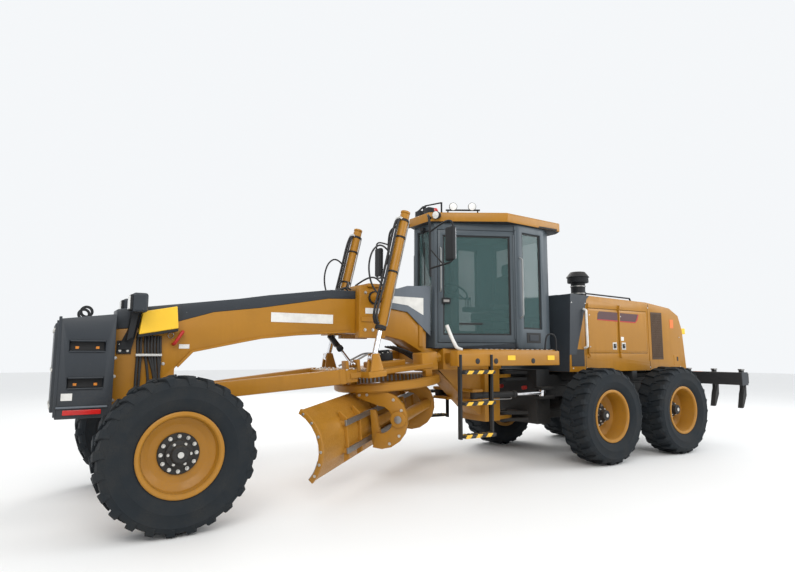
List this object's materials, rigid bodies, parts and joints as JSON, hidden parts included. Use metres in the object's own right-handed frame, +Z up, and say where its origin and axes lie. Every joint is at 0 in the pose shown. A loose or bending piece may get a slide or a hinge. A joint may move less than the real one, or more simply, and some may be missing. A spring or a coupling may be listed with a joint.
{
  "type": "motor grader",
  "caption": "Articulated motor grader with tandem rear drive, leaning front wheels, circle-mounted blade, glazed cab, front counterweight and rear ripper.",
  "frame": {"origin": "centre of the bounding box in plan, on the ground", "axes": "+X forward along the machine, +Y to the left, +Z up"},
  "size_m": [10.8, 2.73, 3.5897],
  "materials": {
    "yellow_paint": "satin",
    "grey_paint": "satin",
    "black_paint": "matte",
    "tyre": "matte",
    "chrome": "polished",
    "seat_fabric": "matte"
  },
  "bodies": {
    "rear": {"rear_frame": "black_paint", "engine_block": "grey_paint", "engine_hood": "yellow_paint", "tandem_case_left": "black_paint", "tandem_case_right": "black_paint"},
    "front": {"front_frame": "yellow_paint", "frame_cover": "grey_paint", "front_counterweight": "grey_paint", "front_axle": "yellow_paint", "blade_saddle": "yellow_paint", "cab_platform_left": "yellow_paint", "cab_platform_right": "yellow_paint", "cab_body": "grey_paint", "cab_roof": "yellow_paint", "operator_station": "seat_fabric"},
    "lean_bracket_left": {"lean_bracket_left": "yellow_paint"},
    "knuckle_left": {"steering_knuckle_left": "yellow_paint"},
    "front_wheel_left": {"tyre_front_left": "tyre", "rim_front_left": "yellow_paint"},
    "middle_wheel_left": {"tyre_middle_left": "tyre", "rim_middle_left": "yellow_paint"},
    "rear_wheel_left": {"tyre_rear_left": "tyre", "rim_rear_left": "yellow_paint"},
    "lean_bracket_right": {"lean_bracket_right": "yellow_paint"},
    "knuckle_right": {"steering_knuckle_right": "yellow_paint"},
    "front_wheel_right": {"tyre_front_right": "tyre", "rim_front_right": "yellow_paint"},
    "middle_wheel_right": {"tyre_middle_right": "tyre", "rim_middle_right": "yellow_paint"},
    "rear_wheel_right": {"tyre_rear_right": "tyre", "rim_rear_right": "yellow_paint"},
    "tie_rod": {"tie_rod": "black_paint"},
    "lean_bar": {"lean_bar": "yellow_paint"},
    "drawbar": {"drawbar": "yellow_paint"},
    "circle": {"circle": "yellow_paint"},
    "blade_carrier": {"blade_carrier": "yellow_paint"},
    "moldboard": {"moldboard": "yellow_paint"},
    "lift_cylinder_barrel_left": {"lift_cylinder_barrel_left": "black_paint"},
    "lift_cylinder_rod_left": {"lift_cylinder_rod_left": "chrome"},
    "articulation_cylinder_barrel_left": {"articulation_cylinder_barrel_left": "black_paint"},
    "articulation_cylinder_rod_left": {"articulation_cylinder_rod_left": "chrome"},
    "lift_cylinder_barrel_right": {"lift_cylinder_barrel_right": "black_paint"},
    "lift_cylinder_rod_right": {"lift_cylinder_rod_right": "chrome"},
    "articulation_cylinder_barrel_right": {"articulation_cylinder_barrel_right": "black_paint"},
    "articulation_cylinder_rod_right": {"articulation_cylinder_rod_right": "chrome"},
    "shift_cylinder_barrel": {"shift_cylinder_barrel": "black_paint"},
    "shift_cylinder_rod": {"shift_cylinder_rod": "chrome"},
    "ripper": {"ripper": "black_paint"},
    "ripper_cylinder_barrel": {"ripper_cylinder_barrel": "black_paint"},
    "ripper_cylinder_rod": {"ripper_cylinder_rod": "chrome"},
    "cab_door_left": {"cab_door_left": "grey_paint"},
    "engine_door_front_left": {"engine_door_front_left": "yellow_paint"},
    "engine_door_rear_left": {"engine_door_rear_left": "yellow_paint"},
    "cab_door_right": {"cab_door_right": "grey_paint"},
    "engine_door_front_right": {"engine_door_front_right": "yellow_paint"},
    "engine_door_rear_right": {"engine_door_rear_right": "yellow_paint"}
  },
  "joints": [
    {"name": "articulation", "type": "hinge", "parent": "rear", "child": "front", "pos_m": [-0.38, 0, 0.9], "axis": [0, 0, 1], "range_deg": [-25, 25]},
    {"name": "wheel_lean_left", "type": "hinge", "parent": "front", "child": "lean_bracket_left", "pos_m": [4.45, 0.78, 0.6], "axis": [1, 0, 0], "range_deg": [-17, 17]},
    {"name": "steering_left", "type": "hinge", "parent": "lean_bracket_left", "child": "knuckle_left", "pos_m": [4.45, 0.95, 0.65928], "axis": [0, 0, 1], "range_deg": [-40, 40]},
    {"name": "front_wheel_spin_left", "type": "hinge", "parent": "knuckle_left", "child": "front_wheel_left", "pos_m": [4.45, 1.137, 0.65928], "axis": [0, 1, 0], "continuous": true},
    {"name": "middle_wheel_spin_left", "type": "hinge", "parent": "rear", "child": "middle_wheel_left", "pos_m": [-1.25, 1.07, 0.65928], "axis": [0, 1, 0], "continuous": true},
    {"name": "rear_wheel_spin_left", "type": "hinge", "parent": "rear", "child": "rear_wheel_left", "pos_m": [-2.95, 1.07, 0.65928], "axis": [0, 1, 0], "continuous": true},
    {"name": "wheel_lean_right", "type": "hinge", "parent": "front", "child": "lean_bracket_right", "pos_m": [4.45, -0.78, 0.6], "axis": [1, 0, 0], "range_deg": [-17, 17]},
    {"name": "steering_right", "type": "hinge", "parent": "lean_bracket_right", "child": "knuckle_right", "pos_m": [4.45, -0.95, 0.65928], "axis": [0, 0, 1], "range_deg": [-40, 40]},
    {"name": "front_wheel_spin_right", "type": "hinge", "parent": "knuckle_right", "child": "front_wheel_right", "pos_m": [4.45, -1.137, 0.65928], "axis": [0, 1, 0], "continuous": true},
    {"name": "middle_wheel_spin_right", "type": "hinge", "parent": "rear", "child": "middle_wheel_right", "pos_m": [-1.25, -1.07, 0.65928], "axis": [0, 1, 0], "continuous": true},
    {"name": "rear_wheel_spin_right", "type": "hinge", "parent": "rear", "child": "rear_wheel_right", "pos_m": [-2.95, -1.07, 0.65928], "axis": [0, 1, 0], "continuous": true},
    {"name": "tie_rod_slide", "type": "slide", "parent": "front", "child": "tie_rod", "axis": [0, 1, 0], "range_m": [-0.16, 0.16]},
    {"name": "lean_bar_slide", "type": "slide", "parent": "front", "child": "lean_bar", "axis": [0, 1, 0], "range_m": [-0.056, 0.056]},
    {"name": "drawbar_lift", "type": "hinge", "parent": "front", "child": "drawbar", "pos_m": [4.18, 0, 1.08], "axis": [0, 1, 0], "range_deg": [-12, 0.5]},
    {"name": "circle_turn", "type": "hinge", "parent": "drawbar", "child": "circle", "pos_m": [1.66165, 0, 1.32249], "axis": [0.0958, 0, 0.9954], "range_deg": [0, 60]},
    {"name": "blade_tilt", "type": "hinge", "parent": "circle", "child": "blade_carrier", "pos_m": [1.5822, 0.00468, 0.53649], "axis": [0.7768, 0.6252, -0.0748], "range_deg": [0, 25]},
    {"name": "blade_slide", "type": "slide", "parent": "blade_carrier", "child": "moldboard", "axis": [0.7768, 0.6252, -0.0748], "range_m": [-0.4, 0.4]},
    {"name": "lift_cylinder_barrel_left_swing", "type": "hinge", "parent": "front", "child": "lift_cylinder_barrel_left", "pos_m": [2.02, 0.62, 2.2], "axis": [0, 1, 0], "range_deg": [-0.38, 8.03]},
    {"name": "lift_cylinder_rod_left_slide", "type": "slide", "parent": "lift_cylinder_barrel_left", "child": "lift_cylinder_rod_left", "axis": [0.2364, 0, -0.9717], "range_m": [-0.0181, 0.4125]},
    {"name": "articulation_cylinder_barrel_left_swing", "type": "hinge", "parent": "front", "child": "articulation_cylinder_barrel_left", "pos_m": [0.52, 0.4, 0.95], "axis": [0, 0, 1], "range_deg": [-7.11, 7.11]},
    {"name": "articulation_cylinder_rod_left_slide", "type": "slide", "parent": "articulation_cylinder_barrel_left", "child": "articulation_cylinder_rod_left", "axis": [-0.9965, 0.083, 0], "range_m": [-0.21, 0.21]},
    {"name": "lift_cylinder_barrel_right_swing", "type": "hinge", "parent": "front", "child": "lift_cylinder_barrel_right", "pos_m": [2.02, -0.62, 2.2], "axis": [0, 1, 0], "range_deg": [-0.38, 8.03]},
    {"name": "lift_cylinder_rod_right_slide", "type": "slide", "parent": "lift_cylinder_barrel_right", "child": "lift_cylinder_rod_right", "axis": [0.2364, 0, -0.9717], "range_m": [-0.0181, 0.4125]},
    {"name": "articulation_cylinder_barrel_right_swing", "type": "hinge", "parent": "front", "child": "articulation_cylinder_barrel_right", "pos_m": [0.52, -0.4, 0.95], "axis": [0, 0, 1], "range_deg": [-7.11, 7.11]},
    {"name": "articulation_cylinder_rod_right_slide", "type": "slide", "parent": "articulation_cylinder_barrel_right", "child": "articulation_cylinder_rod_right", "axis": [-0.9965, -0.083, 0], "range_m": [-0.21, 0.21]},
    {"name": "shift_cylinder_barrel_swing", "type": "hinge", "parent": "front", "child": "shift_cylinder_barrel", "pos_m": [2.32, -0.4, 1.79], "axis": [1, 0, 0], "range_deg": [-20.2, 0.89]},
    {"name": "shift_cylinder_rod_slide", "type": "slide", "parent": "shift_cylinder_barrel", "child": "shift_cylinder_rod", "axis": [0, 0.8629, -0.5054], "range_m": [-0.0113, 0.2485]},
    {"name": "ripper_lift", "type": "hinge", "parent": "rear", "child": "ripper", "pos_m": [-4.46, 0, 0.8], "axis": [0, 1, 0], "range_deg": [-55, 2]},
    {"name": "ripper_cylinder_barrel_swing", "type": "hinge", "parent": "rear", "child": "ripper_cylinder_barrel", "pos_m": [-4.55, 0, 1.7], "axis": [0, 1, 0], "range_deg": [-7.34, 0.32]},
    {"name": "ripper_cylinder_rod_slide", "type": "slide", "parent": "ripper_cylinder_barrel", "child": "ripper_cylinder_rod", "axis": [-0.5439, 0, -0.8392], "range_m": [-0.0203, 0.533]},
    {"name": "cab_door_hinge_left", "type": "hinge", "parent": "front", "child": "cab_door_left", "pos_m": [0.03288, 0.74474, 2.4], "axis": [0, 0, 1], "range_deg": [0, 80]},
    {"name": "engine_door_front_hinge_left", "type": "hinge", "parent": "rear", "child": "engine_door_front_left", "pos_m": [-1.45, 0.728, 1.86], "axis": [0, 0, -1], "range_deg": [0, 100]},
    {"name": "engine_door_rear_hinge_left", "type": "hinge", "parent": "rear", "child": "engine_door_rear_left", "pos_m": [-2.19, 0.728, 1.86], "axis": [0, 0, -1], "range_deg": [0, 100]},
    {"name": "cab_door_hinge_right", "type": "hinge", "parent": "front", "child": "cab_door_right", "pos_m": [0.03288, -0.74474, 2.4], "axis": [0, 0, -1], "range_deg": [0, 80]},
    {"name": "engine_door_front_hinge_right", "type": "hinge", "parent": "rear", "child": "engine_door_front_right", "pos_m": [-1.45, -0.728, 1.86], "axis": [0, 0, 1], "range_deg": [0, 100]},
    {"name": "engine_door_rear_hinge_right", "type": "hinge", "parent": "rear", "child": "engine_door_rear_right", "pos_m": [-2.19, -0.728, 1.86], "axis": [0, 0, 1], "range_deg": [0, 100]}
  ],
  "couplings": [
    {"joint": "wheel_lean_right", "follows": "wheel_lean_left", "ratio": 1},
    {"joint": "steering_right", "follows": "steering_left", "ratio": 1},
    {"joint": "tie_rod_slide", "follows": "steering_left", "m_per_rad": -0.221},
    {"joint": "lean_bar_slide", "follows": "wheel_lean_left", "m_per_rad": -0.177},
    {"joint": "lift_cylinder_barrel_left_swing", "follows": "drawbar_lift", "ratio": -0.65182},
    {"joint": "lift_cylinder_rod_left_slide", "follows": "drawbar_lift", "m_per_rad": -1.9264},
    {"joint": "articulation_cylinder_barrel_left_swing", "follows": "articulation", "ratio": -0.27677},
    {"joint": "articulation_cylinder_rod_left_slide", "follows": "articulation", "m_per_rad": -0.46961},
    {"joint": "lift_cylinder_barrel_right_swing", "follows": "drawbar_lift", "ratio": -0.65182},
    {"joint": "lift_cylinder_rod_right_slide", "follows": "drawbar_lift", "m_per_rad": -1.9264},
    {"joint": "articulation_cylinder_barrel_right_swing", "follows": "articulation", "ratio": -0.27677},
    {"joint": "articulation_cylinder_rod_right_slide", "follows": "articulation", "m_per_rad": 0.46961},
    {"joint": "shift_cylinder_barrel_swing", "follows": "drawbar_lift", "ratio": 1.6459},
    {"joint": "shift_cylinder_rod_slide", "follows": "drawbar_lift", "m_per_rad": -1.1584},
    {"joint": "ripper_cylinder_barrel_swing", "follows": "ripper_lift", "ratio": 0.12999},
    {"joint": "ripper_cylinder_rod_slide", "follows": "ripper_lift", "m_per_rad": -0.54336}
  ]
}
